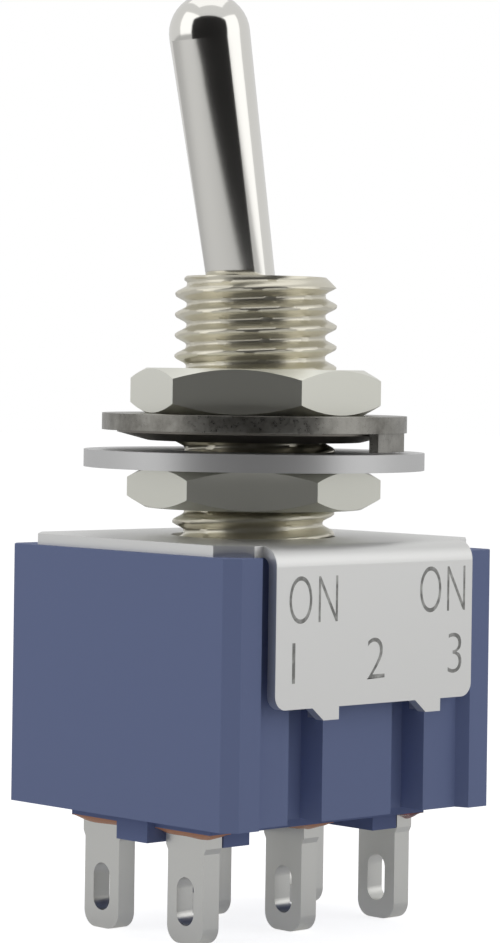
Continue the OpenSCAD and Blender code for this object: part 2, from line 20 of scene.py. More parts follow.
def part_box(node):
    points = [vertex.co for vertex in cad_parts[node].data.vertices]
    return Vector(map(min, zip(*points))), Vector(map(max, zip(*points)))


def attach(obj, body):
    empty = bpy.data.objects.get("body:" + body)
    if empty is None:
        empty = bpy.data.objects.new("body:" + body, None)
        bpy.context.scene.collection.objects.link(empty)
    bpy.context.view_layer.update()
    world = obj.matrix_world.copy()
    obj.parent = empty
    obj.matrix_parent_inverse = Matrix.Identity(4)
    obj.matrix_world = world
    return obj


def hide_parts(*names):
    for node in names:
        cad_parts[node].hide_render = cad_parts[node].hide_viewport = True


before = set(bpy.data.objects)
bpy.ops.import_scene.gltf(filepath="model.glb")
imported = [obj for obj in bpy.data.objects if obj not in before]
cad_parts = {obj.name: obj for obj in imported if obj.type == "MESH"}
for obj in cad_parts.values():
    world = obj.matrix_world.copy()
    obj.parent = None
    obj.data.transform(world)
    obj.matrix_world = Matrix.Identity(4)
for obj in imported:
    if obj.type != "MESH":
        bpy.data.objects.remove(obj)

MM = 0.001
Number = Union[float, bpy.types.NodeSocket]
Colour = tuple[float, float, float]
log = logging.getLogger("toggle_switch")


def linear(red: int, green: int, blue: int) -> Colour:
    """Turns a display colour into scene-linear light.

    Args:
        red: Red, 0 to 255.
        green: Green, 0 to 255.
        blue: Blue, 0 to 255.

    Returns:
        The colour as three linear values.
    """

    def one(value: int) -> float:
        part = value / 255
        return part / 12.92 if part <= 0.04045 else ((part + 0.055) / 1.055) ** 2.4

    return one(red), one(green), one(blue)


# --------------------------------------------------------------------------------------------
# Node trees
# --------------------------------------------------------------------------------------------


class Tree:
    """Writes nodes and links into a shader or geometry tree."""

    def __init__(self, tree: bpy.types.NodeTree) -> None:
        """Keeps the tree that is written to."""
        self.tree = tree

    def node(self, kind: str, **settings: object) -> bpy.types.Node:
        """Adds a node.

        Args:
            kind: Type name of the node.
            **settings: Properties to set on it.

        Returns:
            The new node.
        """
        made = self.tree.nodes.new(kind)
        for name, value in settings.items():
            setattr(made, name, value)
        return made

    def feed(self, socket: bpy.types.NodeSocket, value: object) -> None:
        """Links a socket to another, or sets its plain value."""
        if isinstance(value, bpy.types.NodeSocket):
            self.tree.links.new(value, socket)
        else:
            socket.default_value = value

    def math(self, operation: str, *values: Number, clamp: bool = False) -> bpy.types.NodeSocket:
        """Adds a Math node.

        Args:
            operation: Name of the operation.
            *values: Numbers or sockets, in the node's order.
            clamp: Keeps the result between 0 and 1.

        Returns:
            The node's result.
        """
        made = self.node("ShaderNodeMath", operation=operation, use_clamp=clamp)
        for socket, value in zip(made.inputs, values):
            self.feed(socket, value)
        return made.outputs[0]


class ShaderTree(Tree):
    """Writes the parts of a material that the finishes share."""

    def __init__(self, name: str) -> None:
        """Starts an empty material with a Principled shader.

        Args:
            name: Name of the material.
        """
        self.material = bpy.data.materials.new(name)
        self.material.use_nodes = True
        super().__init__(self.material.node_tree)
        self.tree.nodes.clear()
        self.output = self.node("ShaderNodeOutputMaterial")
        self.shader = self.node("ShaderNodeBsdfPrincipled")
        self.tree.links.new(self.shader.outputs[0], self.output.inputs[0])

    def set(self, **values: object) -> None:
        """Sets or links inputs of the Principled shader, with _ for a space in their names."""
        for name, value in values.items():
            self.feed(self.shader.inputs[name.replace("_", " ")], value)

    def place(
        self,
        stretch: Sequence[float] = (1, 1, 1),
        centre: Sequence[float] = (0, 0, 0),
        turn: Sequence[float] = (0, 0, 0),
    ) -> bpy.types.NodeSocket:
        """Gives a point of the piece in its own frame.

        Args:
            stretch: Scale along each axis after the turn.
            centre: Point that becomes the origin.
            turn: Turn about X, Y and Z in radians, undone before the scale.

        Returns:
            The placed point.
        """
        point = self.node("ShaderNodeTexCoord").outputs["Object"]
        moved = self.node("ShaderNodeVectorMath", operation="SUBTRACT")
        self.feed(moved.inputs[0], point)
        moved.inputs[1].default_value = centre
        turned = self.node("ShaderNodeMapping", vector_type="POINT")
        self.feed(turned.inputs["Vector"], moved.outputs[0])
        turned.inputs["Rotation"].default_value = turn
        scaled = self.node("ShaderNodeVectorMath", operation="MULTIPLY")
        self.feed(scaled.inputs[0], turned.outputs[0])
        scaled.inputs[1].default_value = stretch
        return scaled.outputs[0]

    def noise(
        self, point: bpy.types.NodeSocket, per_mm: float, detail: float = 3, rough: float = 0.55
    ) -> bpy.types.NodeSocket:
        """Adds noise with so many features to the millimetre.

        Args:
            point: Where it is read.
            per_mm: Features to the millimetre.
            detail: Octaves.
            rough: Weight of the finer octaves.

        Returns:
            The noise, about 0 to 1.
        """
        made = self.node("ShaderNodeTexNoise", noise_dimensions="3D")
        self.feed(made.inputs["Vector"], point)
        made.inputs["Scale"].default_value = per_mm / MM
        made.inputs["Detail"].default_value = detail
        made.inputs["Roughness"].default_value = rough
        return made.outputs["Fac"]

    def spread(
        self, value: bpy.types.NodeSocket, low: float, high: float, to_low: float, to_high: float
    ) -> bpy.types.NodeSocket:
        """Maps a stretch of a value to another, and holds it at the ends.

        Args:
            value: The value.
            low: Start of its stretch.
            high: End of its stretch.
            to_low: What the start becomes.
            to_high: What the end becomes.

        Returns:
            The mapped value.
        """
        made = self.node("ShaderNodeMapRange", clamp=True)
        for socket, number in zip(made.inputs, (value, low, high, to_low, to_high)):
            self.feed(socket, number)
        return made.outputs[0]

    def blend(
        self, amount: Number, first: object, second: object, mode: str = "MIX"
    ) -> bpy.types.NodeSocket:
        """Mixes two colours.

        Args:
            amount: Share of the second, 0 to 1.
            first: Colour or socket.
            second: Colour or socket.
            mode: How they are mixed.

        Returns:
            The mixed colour.
        """
        made = self.node("ShaderNodeMix", data_type="RGBA", blend_type=mode)
        self.feed(made.inputs[0], amount)
        for socket, value in ((made.inputs[6], first), (made.inputs[7], second)):
            self.feed(socket, (*value, 1) if isinstance(value, tuple) else value)
        return made.outputs[2]

    def relief(
        self, height: bpy.types.NodeSocket, depth_mm: float, edge_mm: float = 0.0
    ) -> bpy.types.NodeSocket:
        """Turns a height of 0 to 1 into a surface normal, over edges that are softened.

        Args:
            height: Height, 0 to 1.
            depth_mm: What a height of 1 stands for.
            edge_mm: Radius that the edges are softened to, or 0.

        Returns:
            The normal.
        """
        bump = self.node("ShaderNodeBump")
        bump.inputs["Strength"].default_value = 1
        bump.inputs["Distance"].default_value = depth_mm * MM
        self.feed(bump.inputs["Height"], height)
        if edge_mm:
            bevel = self.node("ShaderNodeBevel", samples=4)
            bevel.inputs["Radius"].default_value = edge_mm * MM
            self.feed(bump.inputs["Normal"], bevel.outputs[0])
        return bump.outputs[0]


# --------------------------------------------------------------------------------------------
# Finishes
# --------------------------------------------------------------------------------------------


@dataclass(frozen=True)
class Finish:
    """A named finish. Each kind writes its own material."""

    name: str

    def write(self, tree: ShaderTree) -> None:
        """Writes the finish into a material."""
        raise NotImplementedError

    def material(self) -> bpy.types.Material:
        """Gives the material of this finish, made once.

        Returns:
            The material.
        """
        made = bpy.data.materials.get(self.name)
        if made is None:
            tree = ShaderTree(self.name)
            self.write(tree)
            made = tree.material
        return made


@dataclass(frozen=True)
class MouldedPlastic(Finish):
    """Satin moulded plastic with a fine spark-eroded grain and faint cloudiness."""

    colour: Colour = (0.5, 0.5, 0.5)
    rough: float = 0.46
    grain_per_mm: float = 9.0
    grain_mm: float = 0.006
    edge_mm: float = 0.09
    shine: float = 0.5

    def write(self, tree: ShaderTree) -> None:
        """Writes cloud, flecks, grain and softened edges.

        Args:
            tree: Material tree to write in.
        """
        point = tree.place()
        cloud = tree.noise(point, 0.35, 4)
        fleck = tree.noise(point, 16, 2)
        grain = tree.noise(point, self.grain_per_mm, 3)
        deep = tuple(0.82 * c for c in self.colour)
        light = tuple(min(1.0, 1.14 * c + 0.004) for c in self.colour)
        base = tree.blend(tree.spread(cloud, 0.35, 0.65, 0, 1), deep, light)
        dust = tuple(min(1.0, 1.5 * c + 0.03) for c in self.colour)
        tree.set(
            Base_Color=tree.blend(tree.spread(fleck, 0.66, 0.74, 0, 0.45), base, dust),
            Roughness=tree.spread(grain, 0.3, 0.7, self.rough - 0.06, self.rough + 0.08),
            Normal=tree.relief(grain, self.grain_mm, self.edge_mm),
        )
        tree.set(Specular_IOR_Level=self.shine, IOR=1.5)


@dataclass(frozen=True)
class PlatedMetal(Finish):
    """Plated metal with a slight waviness, tarnish in patches and hairline marks."""

    colour: Colour = (0.8, 0.8, 0.8)
    tarnish: Colour = (0.4, 0.38, 0.3)
    tarnish_share: float = 0.3
    rough: float = 0.16
    wave_mm: float = 0.008
    edge_mm: float = 0.07
    marks: tuple[float, float, float] = (1, 1, 1)

    def write(self, tree: ShaderTree) -> None:
        """Writes plating, tarnish, marks and softened edges.

        Args:
            tree: Material tree to write in.
        """
        point = tree.place()
        patch = tree.noise(point, 0.9, 5, 0.6)
        marks = tree.noise(tree.place(self.marks), 7, 4, 0.7)
        wave = tree.noise(point, 0.8, 2)
        share = tree.spread(patch, 0.42, 0.68, 0, self.tarnish_share)
        base = tree.blend(share, self.colour, self.tarnish)
        tone = tree.spread(marks, 0.3, 0.7, 0.88, 1.05)
        grey = tree.node("ShaderNodeCombineColor")
        for socket in grey.inputs[:3]:
            tree.feed(socket, tone)
        height = tree.math("ADD", tree.math("MULTIPLY", wave, 0.85), tree.math("MULTIPLY", marks, 0.15))
        tree.set(
            Base_Color=tree.blend(1.0, base, grey.outputs[0], "MULTIPLY"),
            Metallic=1.0,
            Roughness=tree.spread(marks, 0.3, 0.75, self.rough - 0.04, self.rough + 0.14),
            Normal=tree.relief(height, self.wave_mm, self.edge_mm),
        )


@dataclass(frozen=True)
class RolledSheet(Finish):
    """Tinned sheet with a rolling grain, soft clouding and small pits."""

    colour: Colour = (0.8, 0.8, 0.8)
    shade: Colour = (0.5, 0.5, 0.5)
    rough: float = 0.42
    grain: tuple[float, float, float] = (0.12, 1, 1)
    grain_mm: float = 0.004
    metal: float = 0.9
    edge_mm: float = 0.06

    def write(self, tree: ShaderTree) -> None:
        """Writes clouding, rolling grain, pits and softened edges.

        Args:
            tree: Material tree to write in.
        """
        point = tree.place()
        cloud = tree.noise(point, 0.45, 5, 0.6)
        grain = tree.noise(tree.place(self.grain), 14, 3, 0.6)
        pits = tree.noise(point, 11, 2)
        base = tree.blend(tree.spread(cloud, 0.38, 0.7, 0, 0.55), self.colour, self.shade)
        base = tree.blend(tree.spread(grain, 0.5, 0.75, 0, 0.35), base, self.shade)
        base = tree.blend(tree.spread(pits, 0.68, 0.76, 0, 0.5), base, self.shade)
        height = tree.math("ADD", tree.math("MULTIPLY", grain, 0.7), tree.math("MULTIPLY", cloud, 0.3))
        tree.set(
            Base_Color=base,
            Roughness=tree.spread(cloud, 0.35, 0.7, self.rough - 0.08, self.rough + 0.12),
            Normal=tree.relief(height, self.grain_mm, self.edge_mm),
        )
        tree.set(Metallic=self.metal)


@dataclass(frozen=True)
class TurnedMetal(Finish):
    """Bright metal with fine turning marks round an axis."""

    colour: Colour = (0.8, 0.8, 0.8)
    dull: Colour = (0.5, 0.48, 0.42)
    rough: float = 0.2
    centre: tuple[float, float, float] = (0, 0, 0)
    turn: tuple[float, float, float] = (0, 0, 0)
    marks_per_mm: float = 5.0
    marks_mm: float = 0.01
    edge_mm: float = 0.0

    def write(self, tree: ShaderTree) -> None:
        """Writes rings that follow the axis, over a plated base.

        Args:
            tree: Material tree to write in.
        """
        along = tree.place((0.02, 0.02, 1), self.centre, self.turn)
        rings = tree.noise(along, self.marks_per_mm, 4, 0.7)
        coarse = tree.noise(along, self.marks_per_mm * 0.22, 2, 0.6)
        patch = tree.noise(tree.place(), 1.1, 5, 0.65)
        share = tree.math(
            "ADD", tree.spread(rings, 0.45, 0.8, 0, 0.45), tree.spread(patch, 0.5, 0.75, 0, 0.4), clamp=True
        )
        height = tree.math("ADD", tree.math("MULTIPLY", rings, 0.6), tree.math("MULTIPLY", coarse, 0.4))
        tree.set(
            Base_Color=tree.blend(share, self.colour, self.dull),
            Metallic=1.0,
            Roughness=tree.spread(rings, 0.3, 0.8, self.rough - 0.04, self.rough + 0.2),
            Normal=tree.relief(height, self.marks_mm, self.edge_mm),
        )


@dataclass(frozen=True)
class TinnedLug(Finish):
    """Hot-tinned brass: mottled grey, brighter where the tin is thick and darker at its tip."""

    colour: Colour = (0.7, 0.7, 0.68)
    dark: Colour = (0.2, 0.19, 0.17)
    tip_mm: float = 0.7

    def write(self, tree: ShaderTree) -> None:
        """Writes mottle, runs of tin and the dull tip.

        Args:
            tree: Material tree to write in.
        """
        point = tree.place()
        mottle = tree.noise(point, 1.5, 6, 0.65)
        runs = tree.noise(tree.place((1, 1, 0.3)), 2.6, 3)
        height_at = tree.node("ShaderNodeSeparateXYZ")
        tree.feed(height_at.inputs[0], point)
        tip = tree.spread(height_at.outputs[2], 0, self.tip_mm * MM, 0.55, 0)
        share = tree.math("ADD", tree.spread(mottle, 0.4, 0.66, 0, 0.8), tip, clamp=True)
        relief = tree.math("ADD", tree.math("MULTIPLY", mottle, 0.5), tree.math("MULTIPLY", runs, 0.5))
        tree.set(
            Base_Color=tree.blend(share, self.colour, self.dark),
            Metallic=1.0,
            Roughness=tree.spread(mottle, 0.3, 0.7, 0.22, 0.46),
            Normal=tree.relief(relief, 0.05, 0.09),
        )


@dataclass(frozen=True)
class PouredResin(Finish):
    """Glossy poured resin, deeper in colour where it is thick."""

    colour: Colour = (0.5, 0.2, 0.08)
    deep: Colour = (0.2, 0.06, 0.03)

    def write(self, tree: ShaderTree) -> None:
        """Writes cloudy colour, bubbles and a wet surface.

        Args:
            tree: Material tree to write in.
        """
        point = tree.place()
        cloud = tree.noise(point, 1.4, 4)
        bubbles = tree.noise(point, 6, 2)
        tree.set(
            Base_Color=tree.blend(tree.spread(cloud, 0.35, 0.65, 0, 1), self.colour, self.deep),
            Roughness=tree.spread(bubbles, 0.3, 0.7, 0.1, 0.26),
            Normal=tree.relief(tree.math("ADD", cloud, bubbles), 0.04),
        )
        tree.set(Coat_Weight=0.4, Coat_Roughness=0.08, IOR=1.53)


@dataclass(frozen=True)
class PaintedStampShade(Finish):
    """Floor of a stamped stroke: the sheet's metal painted darker, as painted shade for the pressed recess,
    and a little rougher.
    """

    colour: Colour = (0.3, 0.3, 0.3)

    def write(self, tree: ShaderTree) -> None:
        """Writes a broken grey that lets the stroke fade in places.

        Args:
            tree: Material tree to write in.
        """
        point = tree.place()
        worn = tree.noise(point, 2.4, 4, 0.6)
        light = tuple(min(1.0, 2.1 * c) for c in self.colour)
        tree.set(
            Base_Color=tree.blend(tree.spread(worn, 0.42, 0.66, 0, 1), self.colour, light),
            Metallic=0.8,
            Roughness=tree.spread(worn, 0.3, 0.7, 0.45, 0.6),
            Normal=tree.relief(worn, 0.01),
        )


@dataclass(frozen=True)
class StudioSurface(Finish):
    """Pale surface of the studio, which keeps the object's shadow and looks white to the camera."""

    light: float = 0.8
    in_metal: float = 0.3

    def write(self, tree: ShaderTree) -> None:
        """Writes a diffuse surface lifted towards white for the rays that see it.

        Args:
            tree: Material tree to write in.
        """
        tree.tree.nodes.remove(tree.shader)
        point = tree.place()
        cloud = tree.noise(point, 0.01, 2)
        tone = tree.spread(cloud, 0.3, 0.7, 0.8, 0.82)
        matte = tree.node("ShaderNodeBsdfDiffuse")
        tree.feed(matte.inputs["Color"], tone)
        glow = tree.node("ShaderNodeEmission")
        path = tree.node("ShaderNodeLightPath")
        seen = tree.math(
            "MAXIMUM",
            path.outputs["Is Camera Ray"],
            tree.math(
                "MAXIMUM",
                tree.math("MULTIPLY", path.outputs["Is Glossy Ray"], self.in_metal),
                path.outputs["Is Transmission Ray"],
            ),
        )
        tree.feed(glow.inputs["Strength"], tree.math("MULTIPLY", seen, self.light))
        both = tree.node("ShaderNodeAddShader")
        tree.feed(both.inputs[0], matte.outputs[0])
        tree.feed(both.inputs[1], glow.outputs[0])
        tree.feed(tree.output.inputs[0], both.outputs[0])


@dataclass(frozen=True)
class DarkCard(Finish):
    """Matt black card that darkens the metal's faces towards it."""

    def write(self, tree: ShaderTree) -> None:
        """Writes a flat black surface."""
        tree.set(Base_Color=(0.012, 0.011, 0.011, 1), Roughness=0.9)


LEVER_TILT = math.radians(11)
PIVOT_MM = (0.0, 0.0, 19.35)


class Finishes:
    """The finishes that this object's pieces take."""

    case = MouldedPlastic("case_blue", linear(68, 82, 138), 0.44)
    # Base block: the case's blue painted darker, as painted shade for its place under the case.
    base = MouldedPlastic("base_blue", linear(62, 74, 126), 0.5)
    bracket = RolledSheet("bracket_tin", linear(196, 196, 194), linear(132, 132, 130), 0.42)
    lever = TurnedMetal(
        "lever_chrome",
        linear(222, 218, 204),
        linear(112, 102, 84),
        0.17,
        tuple(MM * v for v in PIVOT_MM),
        (0, LEVER_TILT, 0),
        5.0,
        0.012,
    )
    thread = TurnedMetal(
        "bushing_nickel", linear(212, 197, 158), linear(84, 70, 42), 0.18, marks_per_mm=9, marks_mm=0.008
    )
    nut = PlatedMetal("nut_nickel", linear(226, 223, 200), linear(132, 118, 76), 0.35, 0.1)
    washer = PlatedMetal(
        "washer_steel", linear(158, 157, 154), linear(76, 74, 68), 0.55, 0.26, 0.006, 0.04
    )
    ring = PlatedMetal(
        "ring_steel", linear(160, 158, 152), linear(74, 70, 62), 0.55, 0.28, 0.006, 0.04
    )
    # Tooth lock washer: darker and browner than the other washers, partly its own darker steel and partly
    # painted shade for its place under the locating ring.
    lock = PlatedMetal("lock_steel", linear(120, 114, 100), linear(50, 46, 40), 0.6, 0.3)
    lug = TinnedLug("lug_tin", linear(172, 171, 166), linear(72, 68, 60))
    amber = PouredResin("resin_amber", linear(196, 120, 58), linear(126, 62, 30))
    red = PouredResin("resin_red", linear(170, 44, 50), linear(104, 22, 30))
    # Legend strokes: dark grey painted shade standing for the shade inside the pressed letters.
    mark = PaintedStampShade("stamp_painted_shade", linear(134, 134, 132))
    steel = PlatedMetal("steel_pin", linear(190, 190, 188), linear(120, 118, 112), 0.3, 0.3)
    brass = PlatedMetal("plunger_brass", linear(222, 190, 120), linear(150, 116, 60), 0.3, 0.24)
    silver_brass = PlatedMetal("rocker_brass", linear(224, 208, 168), linear(160, 140, 100), 0.3, 0.25)
    silver = PlatedMetal("contact_silver", linear(228, 228, 224), linear(170, 168, 160), 0.3, 0.2)
    natural = MouldedPlastic("actuator_white", linear(236, 232, 218), 0.5)


# --------------------------------------------------------------------------------------------
# Mesh helpers
# --------------------------------------------------------------------------------------------


def new_piece(name: str, verts: Sequence, faces: Sequence, finish: Finish, smooth: bool) -> bpy.types.Object:
    """Makes a piece from points in millimetres.

    Args:
        name: Name of the piece.
        verts: Points in millimetres.
        faces: Faces as point numbers.
        finish: Its finish.
        smooth: Shades it smooth below 40 degrees.

    Returns:
        The piece, at the origin.
    """
    mesh = bpy.data.meshes.new(name)
    mesh.from_pydata([tuple(MM * c for c in v) for v in verts], [], faces)
    mesh.materials.append(finish.material())
    made = bpy.data.objects.new(name, mesh)
    bpy.context.scene.collection.objects.link(made)
    if smooth:
        shade(made)
    return made


def shade(piece: bpy.types.Object, angle: float = 40) -> None:
    """Shades a piece smooth, with sharp edges left sharp.

    Args:
        piece: The piece.
        angle: Degrees from which an edge is sharp.
    """
    mesh = piece.data
    work = bmesh.new()
    work.from_mesh(mesh)
    limit = math.radians(angle)
    for edge in work.edges:
        edge.smooth = len(edge.link_faces) == 2 and edge.calc_face_angle(0) < limit
    for face in work.faces:
        face.smooth = True
    work.to_mesh(mesh)
    work.free()


def merge(piece: bpy.types.Object, within_mm: float = 0.0005, outward: bool = False) -> None:
    """Merges points that meet.

    Args:
        piece: The piece.
        within_mm: Distance at which points meet.
        outward: Whether the faces are turned outwards too.
    """
    work = bmesh.new()
    work.from_mesh(piece.data)
    bmesh.ops.remove_doubles(work, verts=work.verts, dist=within_mm * MM)
    if outward:
        bmesh.ops.recalc_face_normals(work, faces=work.faces)
    work.to_mesh(piece.data)
    work.free()


def join(name: str, pieces: Sequence[bpy.types.Object]) -> bpy.types.Object:
    """Joins pieces into the first, and names it.

    Args:
        name: Name of the result.
        pieces: Pieces to join.

    Returns:
        The joined piece.
    """
    first = pieces[0]
    with bpy.context.temp_override(
        active_object=first, selected_editable_objects=list(pieces), selected_objects=list(pieces)
    ):
        bpy.ops.object.join()
    first.name = name
    first.data.name = name
    return first


def lathe(profile: Sequence[tuple[float, float]], steps: int) -> tuple[list, list]:
    """Turns a profile of radius and height about Z.

    Args:
        profile: Points (radius, height), with the outside on the right of the way they run.
        steps: Columns round the axis.

    Returns:
        Points and faces.
    """
    verts = [
        (r * math.cos(2 * math.pi * i / steps), r * math.sin(2 * math.pi * i / steps), z)
        for r, z in profile
        for i in range(steps)
    ]
    faces = [
        (
            k * steps + i,
            k * steps + (i + 1) % steps,
            (k + 1) * steps + (i + 1) % steps,
            (k + 1) * steps + i,
        )
        for k in range(len(profile) - 1)
        for i in range(steps)
    ]
    return verts, faces


def to_mesh(piece: bpy.types.Object) -> bpy.types.Object:
    """Replaces a piece's modifiers or curve by the mesh that they make.

    Args:
        piece: The piece.

    Returns:
        A plain mesh piece of the same name.
    """
    graph = bpy.context.evaluated_depsgraph_get()
    mesh = bpy.data.meshes.new_from_object(piece.evaluated_get(graph), depsgraph=graph)
    name = piece.name
    bpy.data.objects.remove(piece)
    mesh.name = name
    made = bpy.data.objects.new(name, mesh)
    bpy.context.scene.collection.objects.link(made)
    return made


class GeometryTree(Tree):
    """A Geometry Nodes tree with named inputs, which ends in one material."""

    def __init__(self, name: str) -> None:
        """Starts an empty tree.

        Args:
            name: Name of the tree.
        """
        super().__init__(bpy.data.node_groups.new(name, "GeometryNodeTree"))
        face = self.tree.interface
        face.new_socket("Geometry", in_out="INPUT", socket_type="NodeSocketGeometry")
        face.new_socket("Geometry", in_out="OUTPUT", socket_type="NodeSocketGeometry")
        self.source = self.node("NodeGroupInput")
        self.values: dict[str, object] = {}

    def size(self, name: str, value: Union[int, float, bpy.types.Material]) -> bpy.types.NodeSocket:
        """Adds a named input.

        Args:
            name: Name of the input.
            value: What the modifier sets it to.

        Returns:
            The socket that carries it.
        """
        kinds = {int: "NodeSocketInt", float: "NodeSocketFloat", bpy.types.Material: "NodeSocketMaterial"}
        made = self.tree.interface.new_socket(name, in_out="INPUT", socket_type=kinds[type(value)])
        self.values[made.identifier] = value
        return self.source.outputs[name]

    def finish(self, geometry: bpy.types.NodeSocket, material: bpy.types.NodeSocket) -> None:
        """Ends the tree in Realize Instances and Set Material.

        Args:
            geometry: What the tree has made.
            material: Its material.
        """
        real = self.node("GeometryNodeRealizeInstances")
        self.feed(real.inputs[0], geometry)
        dressed = self.node("GeometryNodeSetMaterial")
        self.feed(dressed.inputs["Geometry"], real.outputs[0])
        self.feed(dressed.inputs["Material"], material)
        end = self.node("NodeGroupOutput")
        self.feed(end.inputs[0], dressed.outputs[0])

    def build(self, name: str) -> bpy.types.Object:
        """Runs the tree on an empty mesh.

        Args:
            name: Name of the piece.

        Returns:
            The piece as a plain mesh.
        """
        made = bpy.data.objects.new(name, bpy.data.meshes.new(name))
        bpy.context.scene.collection.objects.link(made)
        modifier = made.modifiers.new(name, "NODES")
        modifier.node_group = self.tree
        for identifier, value in self.values.items():
            modifier[identifier] = value
        return to_mesh(made)


# --------------------------------------------------------------------------------------------
# Sub-assemblies
# --------------------------------------------------------------------------------------------


class Column(Enum):
    """Columns of lugs along the throw."""

    LEFT = "left"
    COMMON = "common"
    RIGHT = "right"


class Row(Enum):
    """Rows of lugs across the throw."""

    FRONT = "front"
    REAR = "rear"


@dataclass
class SubAssembly:
    """A group of pieces that is built and dressed together."""

    pieces: list[bpy.types.Object] = field(default_factory=list, init=False)

    def build(self) -> None:
        """Builds and dresses the group."""
        raise NotImplementedError

    def dress(self, finish: Finish, *nodes: str) -> None:
        """Gives nodes of the frame a finish."""
        for name in nodes:
            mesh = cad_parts[name].data
            mesh.materials.clear()
            mesh.materials.append(finish.material())
            log.info("dressed %s in %s", name, finish.name)

    def keep(self, piece: bpy.types.Object, body: str, slot: str, *replaced: str) -> None:
        """Hangs a finished piece on its body.

        Args:
            piece: The finished piece, at the origin.
            body: The body it moves with.
            slot: Material slot of the record that it stands for; not used.
            *replaced: Nodes of the frame that it is shown in place of.
        """
        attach(piece, body)
        if replaced:
            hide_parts(*replaced)
        self.pieces.append(piece)
        log.info("made %s, %d faces", piece.name, len(piece.data.polygons))


@dataclass
class Bushing(SubAssembly):
    """Bushing with its cut thread, keyway and hollow, in millimetres."""

    radius: float = 2.95
    pitch: float = 0.75
    depth: float = 0.42
    bottom: float = 13.65
    top: float = 23.45
    lead_in: float = 0.4
    keyway_width: float = 1.0
    keyway_depth: float = 0.42
    flange: tuple[float, float, float] = (7.2, 6.5, 0.8)
    pivot: float = 19.35
    ball_seat: float = 2.15
    throat: float = 1.75
    mouth: float = 2.19
    columns: int = 144
    rows_per_pitch: int = 10

    def thread_tree(self) -> GeometryTree:
        """Writes the tree that wraps a grid into a threaded wall.

        Returns:
            The tree.
        """
        tree = GeometryTree("cut_thread")
        radius = tree.size("Radius", self.radius * MM)
        pitch = tree.size("Pitch", self.pitch * MM)
        depth = tree.size("Depth", self.depth * MM)
        bottom = tree.size("Bottom", self.bottom * MM)
        top = tree.size("Top", self.top * MM)
        lead_in = tree.size("Lead In", self.lead_in * MM)
        half_key = tree.size("Half Keyway", self.keyway_width / 2 * MM)
        key_depth = tree.size("Keyway Depth", self.keyway_depth * MM)
        columns = tree.size("Columns", self.columns + 1)
        rows = tree.size("Rows", round((self.top - self.bottom) / self.pitch * self.rows_per_pitch))
        material = tree.size("Material", Finishes.thread.material())

        grid = tree.node("GeometryNodeMeshGrid")
        grid.inputs["Size X"].default_value = 1
        grid.inputs["Size Y"].default_value = 1
        tree.feed(grid.inputs["Vertices X"], columns)
        tree.feed(grid.inputs["Vertices Y"], rows)
        here = tree.node("ShaderNodeSeparateXYZ")
        tree.feed(here.inputs[0], tree.node("GeometryNodeInputPosition").outputs[0])
        part = tree.math("ADD", here.outputs[0], 0.5)
        angle = tree.math("MULTIPLY", part, 2 * math.pi)
        height = tree.math(
            "MULTIPLY_ADD", tree.math("ADD", here.outputs[1], 0.5), tree.math("SUBTRACT", top, bottom), bottom
        )
        turn = tree.math("FRACT", tree.math("SUBTRACT", tree.math("DIVIDE", height, pitch), part))
        saw = tree.math("ABSOLUTE", tree.math("MULTIPLY_ADD", turn, 2.0, -1.0))
        flank = tree.math("DIVIDE", tree.math("SUBTRACT", saw, 0.2), 0.66, clamp=True)
        falling = tree.math("MULTIPLY_ADD", flank, -2.0, 3.0)
        round_off = tree.math("MULTIPLY", flank, tree.math("MULTIPLY", flank, falling))
        eased = tree.math("MULTIPLY_ADD", round_off, 0.45, tree.math("MULTIPLY", flank, 0.55))
        inwards = tree.math("MULTIPLY", depth, -1.0)
        cut = tree.math("MULTIPLY_ADD", tree.math("SUBTRACT", 1.0, eased), inwards, radius)
        lead_start = tree.math("SUBTRACT", top, lead_in)
        lead = tree.math("SUBTRACT", radius, tree.math("SUBTRACT", height, lead_start))
        cut = tree.math("MINIMUM", cut, lead)
        cut = tree.math("MAXIMUM", cut, tree.math("SUBTRACT", radius, depth))
        cosine, sine = tree.math("COSINE", angle), tree.math("SINE", angle)
        key_floor = tree.math("SUBTRACT", radius, key_depth)
        floor = tree.math("DIVIDE", key_floor, tree.math("MAXIMUM", cosine, 0.1))
        beside = tree.math("ABSOLUTE", tree.math("MULTIPLY", sine, radius))
        inside = tree.math(
            "MULTIPLY", tree.math("LESS_THAN", beside, half_key), tree.math("GREATER_THAN", cosine, 0.0)
        )
        keyed = tree.math("MINIMUM", cut, floor)
        reach = tree.math(
            "MULTIPLY_ADD", inside, tree.math("SUBTRACT", keyed, cut), cut
        )
        place = tree.node("ShaderNodeCombineXYZ")
        tree.feed(place.inputs[0], tree.math("MULTIPLY", reach, cosine))
        tree.feed(place.inputs[1], tree.math("MULTIPLY", reach, sine))
        tree.feed(place.inputs[2], height)
        wrap = tree.node("GeometryNodeSetPosition")
        tree.feed(wrap.inputs["Geometry"], grid.outputs["Mesh"])
        tree.feed(wrap.inputs["Position"], place.outputs[0])
        closed = tree.node("GeometryNodeMergeByDistance")
        tree.feed(closed.inputs["Geometry"], wrap.outputs[0])
        closed.inputs["Distance"].default_value = 0.0005 * MM
        tree.finish(closed.outputs[0], material)
        return tree

    def hollow(self) -> bpy.types.Object:
        """Makes the rim, the mouth, the seat of the ball, the foot and the underside.

        Returns:
            The inner walls as one piece.
        """
        root = self.radius - self.depth
        seat = [
            (self.ball_seat * math.cos(a), self.pivot + self.ball_seat * math.sin(a))
            for a in (math.acos(self.throat / self.ball_seat) * k / 6 for k in range(6, -1, -1))
        ]
        flange_low = self.bottom - self.flange[2]
        profile = [
            (root, self.top),
            (self.mouth + 0.05, self.top),
            (self.mouth, self.top - 0.05),
            *seat,
            (2.12, flange_low),
            (root, flange_low),
            (root, self.bottom),
        ]
        return new_piece("bushing_hollow", *lathe(profile, self.columns), Finishes.thread, False)

